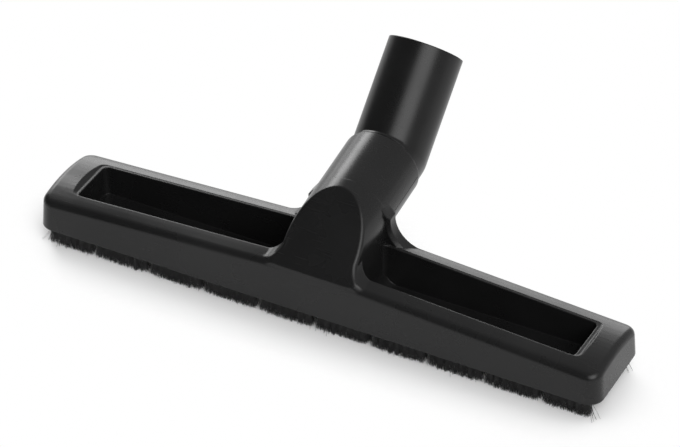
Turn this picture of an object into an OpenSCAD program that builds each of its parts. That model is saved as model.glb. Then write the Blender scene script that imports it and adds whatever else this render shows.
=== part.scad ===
// Floor nozzle for a vacuum cleaner: moulded housing with two open trays, a raised middle that
// runs into the suction neck, a turning elbow, and bristle strips all round the underside.
// Millimetres, Z up. Bristle tips stand on Z = 0. X runs along the nozzle, the neck points to +Y.
// The origin is on the floor, at the middle of the bounding box in plan.

/* [Housing] */
// length of the housing over its end walls
body_l = 300; // [220:1:400]
// depth of the housing at the bottom edge of its walls
body_d = 50; // [40:0.1:80]
// height of the rim crest above the bottom edge, at the end walls
rim_h = 18.3; // [10:0.1:40]
// slope of the top from each end up to the middle, in degrees
gable = 3.26; // [0:0.01:8]
// radius of the crowned rim, seen from the end
crown_r = 75; // [50:1:200]
// distance of the crest from the front wall
crest_y = 20.5; // [10:0.1:40]
// plan radius of the housing corners
corner_r = 7.8; // [4:0.1:20]
// radius of the outer top edge
edge_r = 3.8; // [1:0.1:6]
// draft of the outer walls, in degrees
draft = 3; // [0:0.1:6]
// thickness of the outer walls
wall = 2.1; // [1.2:0.1:4]

/* [Trays] */
// distance of the tray from the front wall, at the tray floor
tray_front = 10.4; // [6:0.1:20]
// distance of the tray from the rear wall, at its floor
tray_rear = 12; // [9:0.1:20]
// distance of the tray from the end wall, at its floor
tray_end = 17.4; // [8:0.1:40]
// height of the tray floor above the floor plane
tray_z = 10.5; // [9:0.1:20]
// thickness of the sole under the tray
sole_t = 2.1; // [1.2:0.1:4]
// draft of the tray walls, measured as their lean over the height
tray_lean = 0.5; // [0:0.1:3]
// size of the chamfer along the top of the tray walls
tray_chamfer = 1.6; // [0:0.1:4]
// corner radius at the outer end of the tray
tray_r = 3; // [1:0.1:10]
// corner radius where the tray meets the raised middle
tray_r_mid = 8.5; // [2:0.1:14]
// radius of the cove between the tray floor and the raised middle
cove_r = 10; // [3:0.1:12]

/* [Raised middle and neck] */
// outer radius of the neck
neck_r = 19.9; // [15:0.1:30]
// wall thickness of the neck and of the raised middle
neck_wall = 2; // [1.2:0.05:4]
// rise of the neck axis, in degrees
neck_tilt = 7.9; // [0:0.1:30]
// distance of the neck's rim centre behind the rear wall
rim_out = 26.7; // [15:0.1:70]
// height of the neck's rim centre above the floor plane
rim_z = 49.05; // [35:0.05:80]
// length of the round neck, from its rim to the raised middle
neck_l = 34.2; // [20:0.1:60]
// radius of the outer edge of the neck's rim
rim_edge = 1; // [0:0.1:2]
// lean of the flat face, in degrees above level
face_lean = 42.2; // [20:0.1:70]
// height of the lower edge of the flat face above the floor plane
face_z = 33.2; // [25:0.1:50]
// radius of the edge around the flat face
face_edge = 2.2; // [0.5:0.1:4]
// distance of the raised middle from the rear wall, at its foot
foot_rear = 6.6; // [4:0.1:20]
// radius of the flares that run from the raised middle into the front rim
flare_r = 8.8; // [3:0.1:15]
// radius of the webs between the neck and the rear rim
web_r = 15.7; // [5:0.1:25]
// distance of the web arc's axis from the middle plane
web_x = 37.7; // [25:0.1:60]
// thickness of the web
web_t = 7; // [2:0.1:9]
// straight rise of the web's edge above its arc
web_rise = 1.4; // [0.5:0.1:8]
// width and depth of the fine groove along the sides of the neck
seam = 0.4; // [0.1:0.05:1]

/* [Swivel] */
// running clearance between the spigot and the neck bore, on the radius
swivel_fit = 0.08; // [0.01:0.01:0.1]
// length of the spigot inside the neck
spigot_l = 16; // [8:0.1:30]
// wall thickness of the spigot
spigot_wall = 1.7; // [1:0.1:3]
// height of the retaining bead on the spigot
bead_h = 0.6; // [0.2:0.05:1.5]
// width of the retaining bead
bead_w = 2; // [1:0.1:4]
// distance of the bead from the neck's rim
bead_at = 10.5; // [6:0.1:14]
// open gap between the neck's rim and the elbow's shoulder
joint_gap = 0.3; // [0.2:0.05:1]

/* [Elbow] */
// outer radius of the elbow tube
tube_r = 18.95; // [15:0.05:30]
// radius of the socket that takes the wand
socket_r = 17.5; // [12:0.05:28]
// depth of the socket
socket_l = 40; // [20:0.5:60]
// rise of the tube axis, in degrees above level
tube_tilt = 42.8; // [20:0.1:80]
// distance from the neck's rim to the point where the two axes meet
bend_in = 7.5; // [3:0.1:20]
// length of the tube from that point to its mouth
tube_l = 53.6; // [30:0.1:90]
// lead-in chamfer of the socket
lead_in = 0.8; // [0:0.1:2]

/* [Bristles] */
// free length of the bristles below the housing walls
bristle_l = 10; // [4:0.1:20]
// number of clusters on each long strip
clusters = 10; // [2:2:20]
// gap between two clusters
cluster_gap = 2.4; // [0.5:0.1:6]
// distance of the bristle rows from the outside of the end walls
row_end = 5.2; // [4.5:0.1:12]
// distance of the end rows from the channels of the long strips
row_in = 1; // [0.8:0.1:4]
// largest pitch of the tufts
tuft_pitch = 3.9; // [2:0.1:4]
// radius of one tuft
tuft_r = 2.1; // [1:0.05:3]
// depth of the tuft root in its strip
tuft_root = 3.5; // [2:0.1:4.5]
// height of the strips
strip_h = 5; // [3:0.1:8]
// recess of the strip above the bottom edge of the walls
strip_in = 0.5; // [0:0.1:2]
// clearance between a strip and the walls of its channel, on each side
strip_fit = 0.1; // [0.05:0.01:0.3]
// width of the channels at the front and at the ends
channel_w = 5.9; // [4:0.1:10]
// clearance around a tuft root, on the radius
tuft_fit = 0.02; // [0:0.01:0.1]

/* [Ribs and lugs] */
// thickness of the ribs that the strips seat on
rib_t = 1.6; // [0.8:0.1:3]
// height of the snap lugs that hold the strips
lug_h = 0.45; // [0.2:0.05:1]
// distance that a snap lug stands out of the wall
lug_out = 0.5; // [0.2:0.05:1]
// length of a snap lug
lug_l = 8; // [3:0.5:20]

/* [Hidden] */
nodes_long = [for (i = [1:clusters]) i];
$fn = 64;
half_l = body_l / 2;
cluster_pitch = body_l / clusters;
rim_y = body_d + rim_out;
tube_end = [rim_y + bend_in * cos(neck_tilt) + tube_l * cos(tube_tilt),
    rim_z + bend_in * sin(neck_tilt) + tube_l * sin(tube_tilt)];
mid_y = (tube_end[0] + tube_r * sin(tube_tilt)) / 2;
crest_z = bristle_l + rim_h;
rise_all = half_l * tan(gable);
tray_x = half_l - tray_end;
tray_back = body_d - tray_rear;
front_in = wall + channel_w;
rear_out = body_d - wall;
rear_in = tray_back + wall;
end_out = half_l - wall;
chan_in = tray_x + wall;
chan_out = chan_in + channel_w;
strip_z = bristle_l + strip_in;
rib_z = strip_z + strip_h;
bore_r = neck_r - neck_wall;
spigot_r = bore_r - swivel_fit;
face_y = wall_in(face_z);
row_y = wall + channel_w / 2;
rear_row_y = (rear_in + rear_out) / 2;
end_row_x = (chan_in + chan_out) / 2;
web_y = tray_back + tray_chamfer;
flare_x = neck_r + flare_r - 0.25;
step = 0.06;

function wall_in(z) = (z - bristle_l) * tan(draft);
function crown(y, off = 0) = crest_z - crown_r + sqrt(pow(crown_r - off, 2) - pow(y - crest_y, 2));
function rise(x) = (half_l - abs(x)) * tan(gable);
function axis_z(y) = rim_z - (rim_y - y) * tan(neck_tilt);
function face_at(y, off = 0) = face_z + (y - face_y) * tan(face_lean) - off / cos(face_lean);

// prism with its profile in the plane of Y and Z, from x0 to x1
module prism_x(pts, x0, x1) {
    translate([x0, 0, 0]) rotate([90, 0, 90]) linear_extrude(x1 - x0) polygon(pts);
}

// prism with its profile in the plane of X and Z, from y0 to y1
module prism_y(pts, y0, y1) {
    translate([0, y1, 0]) rotate([90, 0, 0]) linear_extrude(y1 - y0) polygon(pts);
}

// frame whose Y axis is the neck axis, with its origin in the rim plane
module at_neck() {
    translate([0, rim_y, rim_z]) rotate([neck_tilt, 0, 0]) children();
}

// frame whose Y axis is the tube axis, with its origin where the axes meet
module at_tube() {
    at_neck() translate([0, bend_in, 0]) rotate([tube_tilt - neck_tilt, 0, 0]) children();
}

module rod_y(r, y0, y1, n = 96) {
    translate([0, y0, 0]) rotate([-90, 0, 0]) cylinder(r = r, h = y1 - y0, $fn = n);
}

// outer form of the housing: drafted walls, rounded edges, crowned and gabled top
module shell() {
    ball_x = half_l - wall_in(crest_z - edge_r) - edge_r;
    arc = corner_r - wall_in(crest_z - edge_r) - edge_r;
    front_y = corner_r - arc;
    back_y = body_d - front_y;
    hull() {
        for (sx = [-1, 1], cy = [corner_r, body_d - corner_r])
            translate([sx * (half_l - corner_r), cy, bristle_l]) cylinder(r = corner_r, h = 0.02, $fn = 64);
        for (sx = [-1, 1], y = [corner_r : (body_d - 2 * corner_r) / 12 : body_d - corner_r + 0.01])
            translate([sx * ball_x, y, crown(y, edge_r)]) sphere(r = edge_r, $fn = 32);
        for (sx = [-1, 1], a = [18:18:90]) {
            y = corner_r - arc * sin(a);
            translate([sx * (half_l - corner_r + arc * cos(a)), y, crown(y, edge_r)]) sphere(r = edge_r, $fn = 32);
            translate([sx * (half_l - corner_r + arc * cos(a)), body_d - y, crown(body_d - y, edge_r)])
                sphere(r = edge_r, $fn = 32);
        }
        for (k = [0:12]) {
            lean = rise_all * tan(draft);
            y = front_y + lean + k / 12 * (back_y - front_y - 2 * lean);
            translate([0, y, crown(front_y + k / 12 * (back_y - front_y), edge_r) + ball_x * tan(gable)])
                sphere(r = edge_r, $fn = 32);
        }
    }
}

// hollow of one tray, on the +X side
module tray_cut() {
    x0 = neck_r - 0.2;
    x1 = tray_x;
    tip = atan((crown(tray_back) - crown(tray_front)) / (tray_back - tray_front)) + 0.5;
    hull() {
        translate([x0 + 0.5, tray_front + tray_r_mid, tray_z]) cylinder(r = 0.5, h = 0.1);
        translate([x0 + tray_r_mid, tray_front + tray_r_mid, tray_z]) cylinder(r = tray_r_mid, h = 0.1);
        translate([x0 + tray_r, tray_back - tray_r, tray_z]) cylinder(r = tray_r, h = 0.1);
        for (y = [tray_front + tray_r, tray_back - tray_r])
            translate([x1 - tray_r, y, tray_z]) cylinder(r = tray_r, h = 0.1);
        translate([x0 + tray_r_mid, tray_front - tray_lean + tray_r_mid, crest_z + 12])
            cylinder(r = tray_r_mid, h = 0.1);
        translate([x0 + tray_r, tray_back + tray_lean - tray_r, crest_z + 12]) cylinder(r = tray_r, h = 0.1);
        for (y = [tray_front - tray_lean + tray_r, tray_back + tray_lean - tray_r])
            translate([x1 + tray_lean - tray_r, y, crest_z + 12]) cylinder(r = tray_r, h = 0.1);
    }
    translate([half_l, crest_y, 0]) rotate([tip, gable, 0]) translate([-half_l, -crest_y, 0]) hull() {
        for (s = [0, 1]) {
            c = s * 6;
            z = crest_z - 0.6 - tray_chamfer + c;
            translate([x0 + tray_r_mid, tray_front - tray_lean - c + tray_r_mid, z])
                cylinder(r = tray_r_mid, h = 0.02);
            translate([x0 + tray_r, tray_back + tray_lean + c - tray_r, z]) cylinder(r = tray_r, h = 0.02);
            for (y = [tray_front - tray_lean - c + tray_r, tray_back + tray_lean + c - tray_r])
                translate([x1 + tray_lean + c - tray_r, y, z]) cylinder(r = tray_r, h = 0.02);
        }
    }
}

// raised middle, with its flat face and rounded edge
module hump() {
    k = face_lean - neck_tilt;
    d = -(rim_y - face_y) * sin(face_lean) + (rim_z - face_z) * cos(face_lean);
    foot_y = 0.4;
    low_y = wall_in(face_z) + face_edge + step;
    r = neck_r + step;
    hull() {
        at_neck() for (a = [0:7.5:180]) {
            h = (r - face_edge) * sin(a);
            translate([(r - face_edge) * cos(a), (d + h * cos(k) + face_edge) / sin(k), h])
                sphere(r = face_edge, $fn = 24);
        }
        for (sx = [-1, 1]) translate([sx * (r - face_edge), low_y, face_at(low_y, face_edge)])
            sphere(r = face_edge, $fn = 24);
        at_neck() rod_y(r, -neck_l, 0.1 - neck_l);
        translate([-r, foot_y, bristle_l + 0.25]) cube([2 * r, body_d - foot_rear - foot_y, 0.1]);
    }
}

// cove between the tray floor and the raised middle
module cove() {
    x = neck_r + cove_r - 0.25;
    z = tray_z + cove_r - 0.25;
    difference() {
        prism_y([[neck_r - 1, tray_z - 1], [x, tray_z - 1], [x, z], [neck_r - 1, z]],
            tray_front - tray_lean - 0.3, tray_back + tray_lean + 0.5);
        translate([x, 0, z]) rod_y(cove_r, tray_front - 3, tray_back + 3);
    }
}

// direction between two unit directions, t from 0 to 1
function between(a, b, t) = let (w = acos(a * b)) (sin((1 - t) * w) * a + sin(t * w) * b) / sin(w);

// one section of the flare, at the angle a from the foot of its arc up to the side of the raised middle
function flare_section(a, y1, low) = let (
    r = edge_r + (face_edge - edge_r) * a / 90,
    top = crest_z + rise(flare_x) - 2 + flare_r,
    ax = flare_x - flare_r * sin(a), az = top - flare_r * cos(a),
    cx = flare_x - (flare_r + r) * sin(a), cz = top - (flare_r + r) * cos(a),
    inset = 0.12 + 0.25 * (1 - a / 90),
    wall_y = wall_in(cz) + r + inset,
    lean_y = face_y + (cz - face_z) / tan(face_lean) + r / sin(face_lean) - step,
    low_y = wall_in(face_z) + r + inset,
    low_z = face_z + (low_y - step - face_y) * tan(face_lean) - r / cos(face_lean),
    c1 = [cx, max(wall_y, lean_y), cz],
    c2 = lean_y > wall_y ? [cx, low_y, min(low_z, cz - step)] : [cx, wall_y, cz - step],
    up = [sin(a), -0.17 * cos(a), cos(a)], d1 = up / norm(up),
    d2 = [0, -sin(face_lean), cos(face_lean)], d3 = [0, -1, 0])
    concat([[ax, y1, low], [ax, y1, az + 2.4 * cos(a)]],
        [for (t = [0:6]) c1 + r * between(d1, d2, t / 6)],
        [for (t = [0:4]) c2 + r * between(d2, d3, t / 4)],
        [[cx, wall_in(low) + 0.3, low]]);

// rising fillets between the raised middle and the front rim, with a rounded front edge
module flare() {
    n = 15;
    y1 = tray_front + tray_r_mid;
    loops = [for (j = [0:n]) flare_section(90 * j / n, y1, crest_z - 4)];
    k = len(loops[0]);
    sides = [for (j = [0:n - 1], i = [0:k - 1], h = [0, 1]) let (i2 = (i + 1) % k, a = j * k, b = (j + 1) * k)
        h == 0 ? [a + i, a + i2, b + i2] : [a + i, b + i2, b + i]];
    ends = [for (i = [1:k - 2], h = [0, 1]) h == 0 ? [0, i + 1, i] : [n * k, n * k + i, n * k + i + 1]];
    difference() {
        polyhedron([for (q = loops, p = q) p], concat(sides, ends));
        translate([neck_r + tray_r_mid, y1, 20]) cylinder(r = tray_r_mid + tray_lean, h = 40);
        translate([neck_r + tray_r_mid, tray_front - tray_lean, 20]) cube([20, 20, 40]);
    }
}

// plate that runs from the rear rim up to the side of the neck
module web() {
    z0 = crown(web_y + web_t) + rise(web_x) + web_r - 0.3;
    x0 = web_x - web_r + 0.15;
    zc = axis_z(web_y + web_t / 2);
    r = neck_r - 0.45;
    dz = z0 + web_rise - zc;
    a = atan2(dz, x0) + acos(r / norm([x0, dz]));
    difference() {
        prism_y([[neck_r - 8, 22], [web_x, 22], [web_x, z0 + 0.3], [x0, z0 + 0.3], [x0, z0 + web_rise],
            [r * cos(a), zc + r * sin(a)], [r * cos(a) - 1, zc + r * sin(a) - 1], [neck_r - 8, zc]],
            web_y, web_y + web_t);
        translate([web_x, 0, z0]) rod_y(web_r, web_y - 1, web_y + web_t + 1);
        translate([web_x, web_y - 0.4, z0]) rotate([-90, 0, 0])
            cylinder(r1 = web_r + tray_chamfer + 0.4, r2 = web_r - 0.2, h = tray_chamfer + 0.6, $fn = 96);
    }
}

// neck with its rounded rim
module neck() {
    at_neck() rotate([-90, 0, 0]) rotate_extrude($fn = 96) polygon(concat([[0, -neck_l], [neck_r, -neck_l]],
        [for (a = [0:22.5:90]) [neck_r - rim_edge + rim_edge * cos(a), -rim_edge + rim_edge * sin(a)]], [[0, 0]]));
}

// air way: mouth in the sole, hollow of the raised middle, bore of the neck
module duct() {
    low = bristle_l - sole_t - 2;
    sill = face_z + 0.3;
    back_y = tray_back - 0.5;
    far = 100;
    start = face_y + (sill - face_z + neck_wall / cos(face_lean)) / tan(face_lean);
    intersection() {
        union() {
            at_neck() rod_y(bore_r, -90, 1);
            prism_x([[0, low], [back_y, low], [back_y, axis_z(back_y)], [0, axis_z(0)]], -bore_r, bore_r);
        }
        prism_x([[start, sill], [tray_front, sill], [tray_front, low - 1], [back_y, low - 1],
            [back_y, 20], [far, 20], [far, face_at(far, neck_wall)]], -far, far);
    }
}

// channels for the strips, open below, with ribs left standing in them
module channels() {
    roof = crown(front_in) - 5;
    roof_b = crown(rear_out) - 3;
    low = 2;
    module house(z) {
        prism_y([[-end_out, low], [end_out, low], [end_out, z], [0, z + rise_all], [-end_out, z]],
            wall, front_in);
    }
    intersection() {
        union() {
            difference() {
                house(roof);
                ribs(0, front_in + 0.5);
            }
            difference() {
                prism_y([[-end_out, low], [end_out, low], [end_out, roof_b], [0, roof_b + rise_all],
                    [-end_out, roof_b]], rear_in, rear_out);
                ribs(rear_in - 0.5, body_d);
            }
            for (sx = [-1, 1]) difference() {
                prism_y([[sx * chan_in, low], [sx * end_out, low], [sx * end_out, roof],
                    [sx * chan_in, roof + rise(chan_in)]], front_in - 1, rear_in + 1);
                translate([sx * (chan_out + rib_t / 2) - rib_t / 2, front_in, bristle_l - 0.5])
                    cube([rib_t, rear_in - front_in, 40]);
                translate([sx * (half_l - tray_end / 2) - tray_end / 2, body_d / 2 - rib_t / 2, rib_z])
                    cube([tray_end, rib_t, 40]);
            }
        }
        difference() {
            inner_plan(low - 1, 60);
            at_neck() rod_y(neck_r - 0.4, -70, 0);
        }
    }
}

module ribs(y0, y1) {
    n = clusters / 2 - 1;
    for (k = [-n:n]) translate([k * cluster_pitch - rib_t / 2, y0, rib_z]) cube([rib_t, y1 - y0, 50]);
    for (sx = [-1, 1]) translate([sx * (chan_out + rib_t / 2) - rib_t / 2, y0, rib_z]) cube([rib_t, y1 - y0, 50]);
}

// plan of the space inside the outer walls
module inner_plan(z0, z1) {
    r = corner_r - wall;
    translate([-half_l + corner_r, wall, z0]) cube([body_l - 2 * corner_r, body_d - 2 * wall, z1 - z0]);
    translate([-end_out, corner_r, z0]) cube([2 * end_out, body_d - 2 * corner_r, z1 - z0]);
    for (sx = [-1, 1], y = [corner_r, body_d - corner_r])
        translate([sx * (half_l - corner_r), y, z0]) cylinder(r = r, h = z1 - z0);
}

// snap lugs just under the strips
module lugs() {
    z = strip_z - lug_h;
    w = lug_out + 0.5;
    for (k = [-3, -1, 1, 3]) {
        x = k * tray_x / 4 - lug_l / 2;
        translate([x, front_in - lug_out, z]) cube([lug_l, w, lug_h]);
        translate([x, rear_in - 0.5, z]) cube([lug_l, w, lug_h]);
    }
    for (sx = [-1, 1], k = [1, 3]) {
        y = front_in + k * (rear_in - front_in) / 4 - lug_l / 2;
        translate([sx * (chan_in + lug_out - w / 2) - w / 2, y, z]) cube([w, lug_l, lug_h]);
    }
}

module body() {
    color("#26282b") translate([0, -mid_y, 0]) {
        difference() {
            union() {
                difference() {
                    shell();
                    tray_cut();
                    mirror([1, 0, 0]) tray_cut();
                }
                translate([-tray_x - wall - 1, front_in - 1, tray_z - sole_t])
                    cube([2 * (tray_x + wall + 1), rear_in - front_in + 2, sole_t - 0.2]);
                hump();
                neck();
                flare();
                mirror([1, 0, 0]) flare();
                cove();
                mirror([1, 0, 0]) cove();
                web();
                mirror([1, 0, 0]) web();
            }
            duct();
            channels();
            at_neck() rotate([-90, 0, 0]) translate([0, 0, -bead_at - bead_w / 2 - 0.3])
                cylinder(r = spigot_r + bead_h + swivel_fit, h = bead_w + 0.6, $fn = 96);
            for (sx = [-1, 1]) at_neck() translate([sx * (neck_r + 0.1) - 0.35, -32, -seam / 2])
                cube([0.7, 32 - rim_edge - 0.6, seam]);
        }
        lugs();
    }
}

module elbow() {
    in_r = spigot_r - spigot_wall;
    color("#2b2d30") translate([0, -mid_y, 0]) difference() {
        union() {
            at_neck() {
                rod_y(spigot_r, -spigot_l, 2);
                rod_y(spigot_r + bead_h, -bead_at - bead_w / 2, -bead_at + bead_w / 2);
                rod_y(tube_r, joint_gap, bend_in);
            }
            at_tube() {
                sphere(r = tube_r, $fn = 96);
                rod_y(tube_r, 0, tube_l);
            }
        }
        at_neck() rod_y(in_r, -spigot_l - 1, bend_in);
        at_tube() {
            sphere(r = in_r, $fn = 96);
            rod_y(in_r, 0, tube_l);
            rod_y(socket_r, tube_l - socket_l, tube_l + 1);
            translate([0, tube_l - lead_in, 0]) rotate([-90, 0, 0])
                cylinder(r1 = socket_r, r2 = socket_r + lead_in, h = lead_in + 0.001, $fn = 96);
        }
    }
}

// positions of the tufts of one row, evenly spaced from a to b
function row(a, b) = let (w = b - a - 2 * tuft_r, n = ceil(w / tuft_pitch - 0.01))
    [for (k = [0:n]) a + tuft_r + k / n * w];
function cluster_tufts(i) = row(i == 1 ? row_end - half_l : (i - 1) * cluster_pitch + cluster_gap / 2 - half_l,
    i == clusters ? half_l - row_end : i * cluster_pitch - cluster_gap / 2 - half_l);
end_rows = row(front_in + row_in, rear_in - row_in);

module long_strip(y0, y1, row) {
    color("#2f3134") translate([0, -mid_y, 0]) difference() {
        intersection() {
            translate([-end_out + strip_fit, y0 + strip_fit, strip_z])
                cube([2 * (end_out - strip_fit), y1 - y0 - 2 * strip_fit, strip_h]);
            strip_plan();
        }
        for (i = nodes_long, x = cluster_tufts(i)) translate([x, row, strip_z - 1])
            cylinder(r = tuft_r + tuft_fit, h = tuft_root + 1, $fn = 32);
    }
}

module strip_plan() {
    r = corner_r - wall - strip_fit;
    translate([-half_l + corner_r, 0, strip_z - 1]) cube([body_l - 2 * corner_r, body_d, strip_h + 2]);
    translate([-half_l, corner_r, strip_z - 1]) cube([body_l, body_d - 2 * corner_r, strip_h + 2]);
    for (sx = [-1, 1], y = [corner_r, body_d - corner_r])
        translate([sx * (half_l - corner_r), y, strip_z - 1]) cylinder(r = r, h = strip_h + 2);
}

module end_strip(sx) {
    color("#2f3134") translate([0, -mid_y, 0]) difference() {
        translate([sx * end_row_x - channel_w / 2 + strip_fit, front_in + strip_fit, strip_z])
            cube([channel_w - 2 * strip_fit, rear_in - front_in - 2 * strip_fit, strip_h]);
        for (y = end_rows) translate([sx * end_row_x, y, strip_z - 1])
            cylinder(r = tuft_r + tuft_fit, h = tuft_root + 1, $fn = 32);
    }
}

module tuft(x, y) {
    translate([x, y, 0]) cylinder(r = tuft_r, h = strip_z + tuft_root, $fn = 32);
}

module front_strip() { long_strip(wall, front_in, row_y); }

module rear_strip() { long_strip(rear_in, rear_out, rear_row_y); }

module left_strip() { end_strip(-1); }

module right_strip() { end_strip(1); }

module front_bristles(i) {
    color("#1c1d1f") translate([0, -mid_y, 0]) for (x = cluster_tufts(i)) tuft(x, row_y);
}

module rear_bristles(i) {
    color("#1c1d1f") translate([0, -mid_y, 0]) for (x = cluster_tufts(i)) tuft(x, rear_row_y);
}

module end_bristles(sx) {
    color("#1c1d1f") translate([0, -mid_y, 0]) for (y = end_rows) tuft(sx * end_row_x, y);
}

body();
elbow();
front_strip();
rear_strip();
left_strip();
right_strip();
for (i = nodes_long) front_bristles(i);
for (i = nodes_long) rear_bristles(i);
end_bristles(-1);  // left_bristles
end_bristles(1);  // right_bristles
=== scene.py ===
"""Looks of the vacuum floor nozzle: materials, bristle hair, floor, light and camera."""
import math

import bmesh
import bpy
import numpy as np
from mathutils import Matrix, Vector


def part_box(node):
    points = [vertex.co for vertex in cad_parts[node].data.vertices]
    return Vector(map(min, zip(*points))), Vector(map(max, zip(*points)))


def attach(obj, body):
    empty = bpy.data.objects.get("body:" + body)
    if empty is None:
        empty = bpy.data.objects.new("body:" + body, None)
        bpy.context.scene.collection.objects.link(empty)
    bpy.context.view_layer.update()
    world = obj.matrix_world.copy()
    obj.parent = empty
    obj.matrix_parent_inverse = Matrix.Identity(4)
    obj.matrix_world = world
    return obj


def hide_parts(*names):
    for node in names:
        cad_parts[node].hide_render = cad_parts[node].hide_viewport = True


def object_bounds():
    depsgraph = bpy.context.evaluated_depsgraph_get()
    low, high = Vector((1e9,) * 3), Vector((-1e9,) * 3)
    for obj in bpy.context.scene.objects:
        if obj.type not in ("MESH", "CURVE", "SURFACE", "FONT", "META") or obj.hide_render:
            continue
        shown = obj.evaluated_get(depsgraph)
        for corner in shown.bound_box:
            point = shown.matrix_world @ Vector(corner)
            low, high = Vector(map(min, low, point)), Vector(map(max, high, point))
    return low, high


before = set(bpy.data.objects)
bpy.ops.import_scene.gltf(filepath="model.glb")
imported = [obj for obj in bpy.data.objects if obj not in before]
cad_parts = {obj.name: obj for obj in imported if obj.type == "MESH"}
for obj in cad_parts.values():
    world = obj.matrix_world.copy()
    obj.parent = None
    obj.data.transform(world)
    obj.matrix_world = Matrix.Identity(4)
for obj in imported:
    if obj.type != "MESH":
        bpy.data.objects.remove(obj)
CAD_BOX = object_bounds()

MM = 0.001
X_AXIS = 0
Y_AXIS = 1

# clusters in a long row, the tufts in one of them, in one at its ends and in one at a side
CLUSTERS = 10
ROW_TUFTS = 7
ROW_END_TUFTS = 6
SIDE_TUFTS = 8
HAIRS_PER_CLUSTER = 1100
HAIR_SEED = 7

# one hair: its root inside the strip, its thickness, how it tapers and bends, and its mesh
ROOT_HEIGHT = 11.8 * MM
TUFT_FILL = 0.94
HAIR_RADIUS = 0.11 * MM
HAIR_TAPER = 0.45
HAIR_BEND = 1.8
HAIR_SEGMENTS = 4
HAIR_SIDES = 3

# how far tips stand aside, as a share of the hair's length: at random, more so along the row,
# by the place in the cluster, and for the few stray hairs
LEAN = 0.035
LEAN_ALONG = 2.2
FAN_ALONG = 0.1
FAN_ACROSS = 0.06
STRAY_SHARE = 0.012
STRAY_LEAN = 0.16

# wear of the tips, and the few hairs that stand out at the ends of the long rows
END_WEAR = 1.3 * MM
END_WEAR_POWER = 5
TIP_SPREAD = 0.11 * MM
LOOSE_HAIRS = 5
LOOSE_FROM = 0.85
LOOSE_OUT = (0.2, 0.45)
LOOSE_ASIDE = (0.05, 0.2)

# darkest and lightest hair, the range of their roughness and the scale at which it changes
HAIR_DARK = (0.013, 0.013, 0.0135)
HAIR_LIGHT = (0.027, 0.0268, 0.0265)
HAIR_ROUGHNESS = (0.3, 0.5)
HAIR_GRAIN = 900.0

# what the black plastics share; scales are in cycles per metre
PLASTIC_IOR = 1.34
EDGE_ROUNDING = 0.9 * MM
EDGE_SAMPLES = 6
FLOW_SCALE = 26.0
FLOW_TONES = (0.85, 1.2)
FLOW_GLOSS = 0.05
WAVE_DEPTH = 0.12 * MM
WAVE_STRENGTH = 0.25
GRAIN_STRENGTH = 0.35
SCUFF_SCALE = (60.0, 900.0, 900.0)
SCUFF_TURN = (0.0, 0.3, 0.5)
SCUFF_RANGE = (0.62, 0.74)

# smoothing of the carried-over meshes, the angle in degrees
MERGE_DISTANCE = 0.002 * MM
SMOOTH_ANGLE = 28.0

# floor: size, colour, place under the tips, and how far out the painted fade of its shadow reaches
FLOOR_RADIUS = 12.0
FLOOR_POINTS = 96
FLOOR_DROP = 0.05 * MM
FLOOR_COLOUR = 0.95
FLOOR_ROUGHNESS = 0.9
SHADOW_REACH = 38.0 * MM
SHADOW_RANGE = (0.58, 0.89)
SHADOW_SAMPLES = 16

# surroundings: azimuth, elevation, outer angle, inner angle, lowest and highest brightness
SIDE_GLOW = (45, 0, 125, 70, 0.13, 0.66)
BACK_GLOW = (-34, 5, 33, 8, 0.0, 3.2)
RIGHT_GLOW = (135, 44, 32, 6, 0.0, 4.3)

# lamp on the left: azimuth and elevation in degrees, distance, width and height, power and aim
LAMP_HEADING = (-51, 30)
LAMP_DISTANCE = 1.5
LAMP_SIZE = (0.42, 0.5)
LAMP_POWER = 6.0
LAMP_AIM = Vector((0.0, 0.0, 0.04))

# camera of the photograph: rise and swing in degrees, distance, lens, aim and shift
CAMERA_RISE = 38.586
CAMERA_SWING = 26.972
CAMERA_DISTANCE = 2.1
CAMERA_LENS = 232.58
CAMERA_SENSOR = 36.0
CAMERA_AIM = Vector((-1.2, -68.166, 0.0)) * MM
CAMERA_SHIFT = (-15.353 * MM, -51.177 * MM)
CAMERA_CLIP = (0.05, 20.0)


def node_tree(name):
    """A new material, its node tree and its principled shader."""
    mat = bpy.data.materials.new(name)
    mat.use_nodes = True
    return mat, mat.node_tree, mat.node_tree.nodes["Principled BSDF"]


def noise(tree, coords, scale, detail=3.0, roughness=0.5):
    """A noise value at the given scale."""
    tex = tree.nodes.new("ShaderNodeTexNoise")
    tex.inputs["Scale"].default_value = scale
    tex.inputs["Detail"].default_value = detail
    tex.inputs["Roughness"].default_value = roughness
    tree.links.new(coords, tex.inputs["Vector"])
    return tex.outputs["Fac"]


def spread(tree, value, low, high, lo_in=0.3, hi_in=0.7):
    """Maps a value between lo_in and hi_in onto the range from low to high."""
    ramp = tree.nodes.new("ShaderNodeMapRange")
    ramp.inputs["From Min"].default_value = lo_in
    ramp.inputs["From Max"].default_value = hi_in
    ramp.inputs["To Min"].default_value = low
    ramp.inputs["To Max"].default_value = high
    tree.links.new(value, ramp.inputs["Value"])
    return ramp.outputs["Result"]


def combine(tree, operation, first, second):
    """The sum, product, maximum or the like of two values."""
    both = tree.nodes.new("ShaderNodeMath")
    both.operation = operation
    tree.links.new(first, both.inputs[0])
    tree.links.new(second, both.inputs[1])
    return both.outputs[0]


def bump(tree, height, normal, strength, distance):
    """The normal of a surface that a height value raises."""
    node = tree.nodes.new("ShaderNodeBump")
    node.inputs["Strength"].default_value = strength
    node.inputs["Distance"].default_value = distance
    tree.links.new(height, node.inputs["Height"])
    tree.links.new(normal, node.inputs["Normal"])
    return node.outputs["Normal"]


def rounded_edges(tree):
    """Normals that run softly over the edges, as the mould's small radii do."""
    edge = tree.nodes.new("ShaderNodeBevel")
    edge.samples = EDGE_SAMPLES
    edge.inputs["Radius"].default_value = EDGE_ROUNDING
    return edge.outputs["Normal"]


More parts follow.
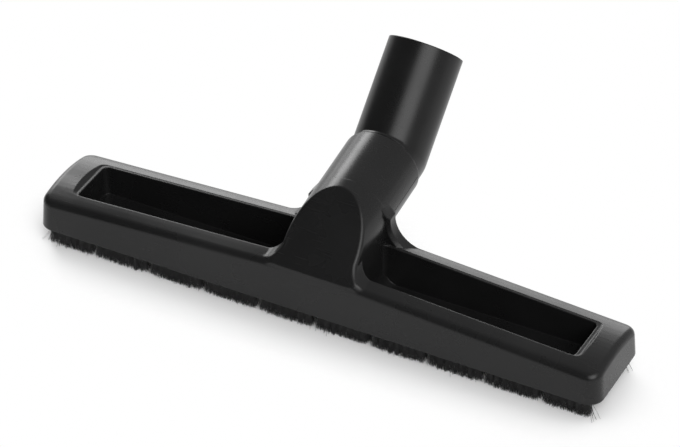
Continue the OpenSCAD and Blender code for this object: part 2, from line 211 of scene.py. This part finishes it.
def scuff_noise(tree, coords):
    """Noise drawn out into fine slanting streaks."""
    place = tree.nodes.new("ShaderNodeMapping")
    place.inputs["Scale"].default_value = SCUFF_SCALE
    place.inputs["Rotation"].default_value = SCUFF_TURN
    tree.links.new(coords, place.inputs["Vector"])
    return noise(tree, place.outputs["Vector"], scale=1.0, detail=2.0)


def moulded_plastic(name, colour, rough, grain_scale, grain_depth, scuffs):
    """Black moulded plastic: fine spark-eroded grain, slow changes of gloss and faint scuffs."""
    mat, tree, shader = node_tree(name)
    coords = tree.nodes.new("ShaderNodeTexCoord").outputs["Object"]
    grain = noise(tree, coords, grain_scale, detail=2.0, roughness=0.6)
    flow = noise(tree, coords, FLOW_SCALE, detail=4.0, roughness=0.55)
    scratch = scuff_noise(tree, coords)

    mix = tree.nodes.new("ShaderNodeMix")
    mix.data_type = "RGBA"
    for socket, tone in zip(("A", "B"), FLOW_TONES):
        mix.inputs[socket].default_value = (*[c * tone for c in colour], 1.0)
    tree.links.new(spread(tree, flow, 0.0, 1.0), mix.inputs["Factor"])
    tree.links.new(mix.outputs["Result"], shader.inputs["Base Color"])

    flow_gloss = spread(tree, flow, rough - FLOW_GLOSS, rough + FLOW_GLOSS)
    scuff_gloss = spread(tree, scratch, 0.0, scuffs, *SCUFF_RANGE)
    tree.links.new(combine(tree, "ADD", flow_gloss, scuff_gloss), shader.inputs["Roughness"])

    grained = bump(tree, grain, rounded_edges(tree), GRAIN_STRENGTH, grain_depth)
    waved = bump(tree, flow, grained, WAVE_STRENGTH, WAVE_DEPTH)
    tree.links.new(waved, shader.inputs["Normal"])
    shader.inputs["IOR"].default_value = PLASTIC_IOR
    return mat


def hair_material():
    """Dark synthetic hair with a slight change of tone from hair to hair."""
    mat, tree, shader = node_tree("bristle_hair")
    tone = tree.nodes.new("ShaderNodeAttribute")
    tone.attribute_name = "tone"
    ramp = tree.nodes.new("ShaderNodeValToRGB")
    for stop, colour in zip(ramp.color_ramp.elements, (HAIR_DARK, HAIR_LIGHT)):
        stop.color = (*colour, 1.0)
    tree.links.new(tone.outputs["Fac"], ramp.inputs["Fac"])
    tree.links.new(ramp.outputs["Color"], shader.inputs["Base Color"])
    coords = tree.nodes.new("ShaderNodeTexCoord").outputs["Object"]
    gloss = spread(tree, noise(tree, coords, HAIR_GRAIN), *HAIR_ROUGHNESS)
    tree.links.new(gloss, shader.inputs["Roughness"])
    return mat


def smoothing():
    """Modifier tree that joins coincident points and smooths all but the sharp edges."""
    group = bpy.data.node_groups.new("smooth_shading", "GeometryNodeTree")
    group.interface.new_socket("Geometry", in_out="INPUT", socket_type="NodeSocketGeometry")
    group.interface.new_socket("Geometry", in_out="OUTPUT", socket_type="NodeSocketGeometry")
    start = group.nodes.new("NodeGroupInput")
    end = group.nodes.new("NodeGroupOutput")
    merge = group.nodes.new("GeometryNodeMergeByDistance")
    merge.inputs["Distance"].default_value = MERGE_DISTANCE
    angle = group.nodes.new("GeometryNodeInputMeshEdgeAngle")
    sharp = group.nodes.new("FunctionNodeCompare")
    sharp.data_type = "FLOAT"
    sharp.operation = "GREATER_THAN"
    sharp.inputs["B"].default_value = math.radians(SMOOTH_ANGLE)
    normal = group.nodes.new("GeometryNodeSetMeshNormal")
    normal.mode = "SHARPNESS"
    normal.inputs["Remove Custom"].default_value = True
    normal.inputs["Face Sharpness"].default_value = False
    group.links.new(start.outputs[0], merge.inputs["Geometry"])
    group.links.new(merge.outputs[0], normal.inputs["Mesh"])
    group.links.new(angle.outputs["Unsigned Angle"], sharp.inputs["A"])
    group.links.new(sharp.outputs[0], normal.inputs["Edge Sharpness"])
    group.links.new(normal.outputs[0], end.inputs[0])
    return group


def housing_plastic():
    """Satin black plastic of the housing."""
    return moulded_plastic("housing_plastic", (0.0088, 0.0088, 0.0089), rough=0.27,
                           grain_scale=2600.0, grain_depth=0.012 * MM, scuffs=0.05)


def tube_plastic():
    """Plastic of the elbow tube, a little duller and darker than the housing's."""
    return moulded_plastic("tube_plastic", (0.0075, 0.0075, 0.0076), rough=0.3,
                           grain_scale=2200.0, grain_depth=0.014 * MM, scuffs=0.06)


def strip_plastic():
    """Matt plastic of the strips that hold the bristles."""
    return moulded_plastic("strip_plastic", (0.009, 0.009, 0.0092), rough=0.45,
                           grain_scale=1800.0, grain_depth=0.02 * MM, scuffs=0.05)


def dress_nodes():
    """Gives every carried-over CAD node its own procedural finish."""
    own = {"body": housing_plastic(), "elbow": tube_plastic()}
    strip = strip_plastic()
    group = smoothing()
    for name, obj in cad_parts.items():
        if name in own:
            obj.modifiers.new("smooth", "NODES").node_group = group
            even = obj.modifiers.new("even", "WEIGHTED_NORMAL")
            even.keep_sharp = True
        obj.data.materials.clear()
        obj.data.materials.append(own.get(name, strip))


def hair_faces(hairs):
    """Faces of the hairs: quads round each segment and a cap on each tip."""
    one_hair = []
    for segment in range(HAIR_SEGMENTS):
        for side in range(HAIR_SIDES):
            low = segment * HAIR_SIDES + side
            beside = segment * HAIR_SIDES + (side + 1) % HAIR_SIDES
            one_hair.append((low, beside, beside + HAIR_SIDES, low + HAIR_SIDES))
    tip = HAIR_SEGMENTS * HAIR_SIDES
    one_hair.append(tuple(range(tip, tip + HAIR_SIDES)))
    step = (HAIR_SEGMENTS + 1) * HAIR_SIDES
    return [tuple(first + point for point in face)
            for first in range(0, hairs * step, step) for face in one_hair]


def hair_points(roots, lean, length):
    """Points of tapering hairs that curve aside from their roots and keep to the CAD box."""
    box_lo, box_hi = CAD_BOX
    share = np.linspace(0.0, 1.0, HAIR_SEGMENTS + 1)
    thick = HAIR_RADIUS * (1.0 - HAIR_TAPER * share)
    bend = share ** HAIR_BEND * length[:, None]
    turn = 2 * math.pi * np.arange(HAIR_SIDES) / HAIR_SIDES
    points = np.empty((len(roots), HAIR_SEGMENTS + 1, HAIR_SIDES, 3))
    for axis, outline in ((X_AXIS, np.cos(turn)), (Y_AXIS, np.sin(turn))):
        middle = roots[:, None, axis] + lean[:, None, axis] * bend
        middle = np.clip(middle, box_lo[axis] + 2 * thick, box_hi[axis] - 2 * thick)
        points[..., axis] = middle[..., None] + thick[:, None] * outline
    points[..., 2] = (ROOT_HEIGHT - length[:, None] * share)[..., None]
    return points.reshape(-1, 3)


def hair_mesh(name, points, tones, material):
    """Smooth mesh of the hairs, each with its own tone, as an object in the scene."""
    mesh = bpy.data.meshes.new(name)
    mesh.from_pydata(points.tolist(), [], hair_faces(len(tones)))
    tone = mesh.attributes.new("tone", "FLOAT", "POINT")
    tone.data.foreach_set("value", np.repeat(tones, len(points) // len(tones)))
    mesh.polygons.foreach_set("use_smooth", [True] * len(mesh.polygons))
    mesh.materials.append(material)
    obj = bpy.data.objects.new(name, mesh)
    bpy.context.scene.collection.objects.link(obj)
    return obj


def bundle(name, node, along, tufts, material, rng, outward=0):
    """Hair for one cluster: every tuft is a bunch that opens a little towards its tips.

    along is the axis of the row. outward is the side, 1 or -1, on which a few loose hairs
    stand out, or 0 for none.
    """
    across = Y_AXIS if along == X_AXIS else X_AXIS
    lo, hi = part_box(node)
    centre = (lo + hi) / 2
    tuft_r = (hi[across] - lo[across]) / 2
    first = lo[along] + tuft_r
    last = hi[along] - tuft_r
    hairs = HAIRS_PER_CLUSTER * tufts // ROW_TUFTS

    tuft = rng.integers(0, tufts, hairs)
    radius = tuft_r * TUFT_FILL * np.sqrt(rng.random(hairs))
    angle = rng.random(hairs) * 2 * math.pi
    roots = np.zeros((hairs, 2))
    roots[:, along] = first + (last - first) * tuft / (tufts - 1) + radius * np.cos(angle)
    roots[:, across] = centre[across] + radius * np.sin(angle)

    lean = rng.normal(0.0, LEAN, (hairs, 2))
    lean[:, along] *= LEAN_ALONG
    stray = rng.random(hairs) < STRAY_SHARE
    lean[stray] += rng.normal(0.0, STRAY_LEAN, (stray.sum(), 2))
    place = (roots[:, along] - centre[along]) / (hi[along] - lo[along]) * 2
    wear = END_WEAR * np.abs(place) ** END_WEAR_POWER
    length = ROOT_HEIGHT - wear - np.abs(rng.normal(0.0, TIP_SPREAD, hairs))
    if outward:
        loose = np.flatnonzero(place * outward > LOOSE_FROM)[:LOOSE_HAIRS]
        lean[loose, along] += outward * rng.uniform(*LOOSE_OUT, len(loose))
        lean[loose, across] -= rng.uniform(*LOOSE_ASIDE, len(loose))
        length[loose] = ROOT_HEIGHT
    lean[:, along] += (roots[:, along] - centre[along]) / (hi[along] - lo[along]) * FAN_ALONG
    lean[:, across] += (roots[:, across] - centre[across]) / tuft_r * FAN_ACROSS

    obj = hair_mesh(name, hair_points(roots, lean, length), rng.random(hairs), material)
    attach(obj, "housing")
    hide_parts(node)


def add_bristles():
    """Hair for every cluster; the long rows have loose hairs at both ends."""
    material = hair_material()
    rng = np.random.default_rng(HAIR_SEED)
    outward = {1: -1, CLUSTERS: 1}
    for row in ("front", "rear"):
        for number in range(1, CLUSTERS + 1):
            tufts = ROW_END_TUFTS if number in outward else ROW_TUFTS
            bundle(f"{row}_hair_{number}", f"{row}_bristles_{number}", X_AXIS, tufts, material, rng,
                   outward.get(number, 0))
    for side in ("left", "right"):
        bundle(f"{side}_hair", f"{side}_bristles", Y_AXIS, SIDE_TUFTS, material, rng)


def seen_rays(tree):
    """1 for rays of the camera, of reflections and through clear materials, else 0."""
    path = tree.nodes.new("ShaderNodeLightPath")
    total = path.outputs["Is Camera Ray"]
    for ray in ("Is Glossy Ray", "Is Transmission Ray"):
        total = combine(tree, "MAXIMUM", total, path.outputs[ray])
    return total


def floor_material():
    """Pale matt floor that glows white away from the object; near it the lamps' real shadow shows, and an
    occlusion mask paints where that shadow fades into the white.
    """
    mat, tree, shader = node_tree("floor_white")
    shader.inputs["Base Color"].default_value = (*[FLOOR_COLOUR] * 3, 1.0)
    shader.inputs["Roughness"].default_value = FLOOR_ROUGHNESS
    shader.inputs["Specular IOR Level"].default_value = 0.0
    white = tree.nodes.new("ShaderNodeEmission")
    near = tree.nodes.new("ShaderNodeAmbientOcclusion")
    near.samples = SHADOW_SAMPLES
    near.inputs["Distance"].default_value = SHADOW_REACH
    # painted shadow: ambient occlusion, not the lamps, sets where the lit floor gives way to glowing
    # white
    painted_shadow_fade = spread(tree, near.outputs["AO"], 0.0, 1.0, *SHADOW_RANGE)
    mix = tree.nodes.new("ShaderNodeMixShader")
    tree.links.new(combine(tree, "MULTIPLY", seen_rays(tree), painted_shadow_fade), mix.inputs[0])
    tree.links.new(shader.outputs[0], mix.inputs[1])
    tree.links.new(white.outputs[0], mix.inputs[2])
    tree.links.new(mix.outputs[0], tree.nodes["Material Output"].inputs["Surface"])
    return mat


def add_floor():
    """A round floor just under the bristle tips."""
    disc = bmesh.new()
    bmesh.ops.create_circle(disc, cap_ends=True, radius=FLOOR_RADIUS, segments=FLOOR_POINTS)
    mesh = bpy.data.meshes.new("floor")
    disc.to_mesh(mesh)
    disc.free()
    floor = bpy.data.objects.new("floor", mesh)
    floor.location.z = -FLOOR_DROP
    bpy.context.scene.collection.objects.link(floor)
    mesh.materials.append(floor_material())


def heading(azimuth, elevation):
    """Unit vector of a direction: azimuth 0 is +Y and 90 is +X, both in degrees."""
    turn = math.radians(azimuth)
    rise = math.radians(elevation)
    return Vector((math.sin(turn) * math.cos(rise), math.cos(turn) * math.cos(rise), math.sin(rise)))


def glow(tree, coords, azimuth, elevation, outer, inner, low, high):
    """Brightness by direction: low beyond the outer angle from a heading, high within the inner."""
    dot = tree.nodes.new("ShaderNodeVectorMath")
    dot.operation = "DOT_PRODUCT"
    tree.links.new(coords, dot.inputs[0])
    dot.inputs[1].default_value = heading(azimuth, elevation)
    outer_dot = math.cos(math.radians(outer))
    inner_dot = math.cos(math.radians(inner))
    level = spread(tree, dot.outputs["Value"], low, high, outer_dot, inner_dot)
    level.node.interpolation_type = "SMOOTHSTEP"
    return level


def add_world():
    """Studio surroundings: dim on the left, grey on the right, bright low down behind, and a
    bright patch high up in front on the right.
    """
    world = bpy.data.worlds.new("studio")
    bpy.context.scene.world = world
    world.use_nodes = True
    tree = world.node_tree
    back = tree.nodes["Background"]
    back.inputs["Color"].default_value = (1.0, 1.0, 1.0, 1.0)
    coords = tree.nodes.new("ShaderNodeTexCoord").outputs["Generated"]
    total = glow(tree, coords, *SIDE_GLOW)
    for lobe in (BACK_GLOW, RIGHT_GLOW):
        total = combine(tree, "ADD", total, glow(tree, coords, *lobe))
    tree.links.new(total, back.inputs["Strength"])


def add_lamp():
    """A soft rectangular lamp on the left that shines towards the nozzle."""
    data = bpy.data.lights.new("left_softbox", "AREA")
    data.shape = "RECTANGLE"
    data.size, data.size_y = LAMP_SIZE
    data.energy = LAMP_POWER
    lamp = bpy.data.objects.new("left_softbox", data)
    lamp.location = LAMP_AIM + LAMP_DISTANCE * heading(*LAMP_HEADING)
    lamp.rotation_euler = (LAMP_AIM - lamp.location).to_track_quat("-Z", "Y").to_euler()
    bpy.context.scene.collection.objects.link(lamp)


def add_camera():
    """The photograph's camera, from its rise, swing, distance and aim."""
    rise = math.radians(CAMERA_RISE)
    swing = math.radians(CAMERA_SWING)
    right = Vector((math.cos(swing), math.sin(swing), 0.0))
    up = Vector((-math.sin(swing) * math.sin(rise), math.cos(swing) * math.sin(rise), math.cos(rise)))
    ahead = Vector((-math.sin(swing) * math.cos(rise), math.cos(swing) * math.cos(rise), -math.sin(rise)))
    place = CAMERA_AIM - right * CAMERA_SHIFT[0] - up * CAMERA_SHIFT[1] - ahead * CAMERA_DISTANCE
    data = bpy.data.cameras.new("camera")
    data.sensor_fit = "HORIZONTAL"
    data.sensor_width = CAMERA_SENSOR
    data.lens = CAMERA_LENS
    data.clip_start, data.clip_end = CAMERA_CLIP
    cam = bpy.data.objects.new("camera", data)
    cam.matrix_world = Matrix.Translation(place) @ Matrix((right, up, -ahead)).transposed().to_4x4()
    bpy.context.scene.collection.objects.link(cam)
    bpy.context.scene.camera = cam


def main():
    """Builds the scene."""
    add_camera()
    dress_nodes()
    add_bristles()
    add_floor()
    add_world()
    add_lamp()
    scene = bpy.context.scene
    scene.view_settings.view_transform = "Standard"


main()
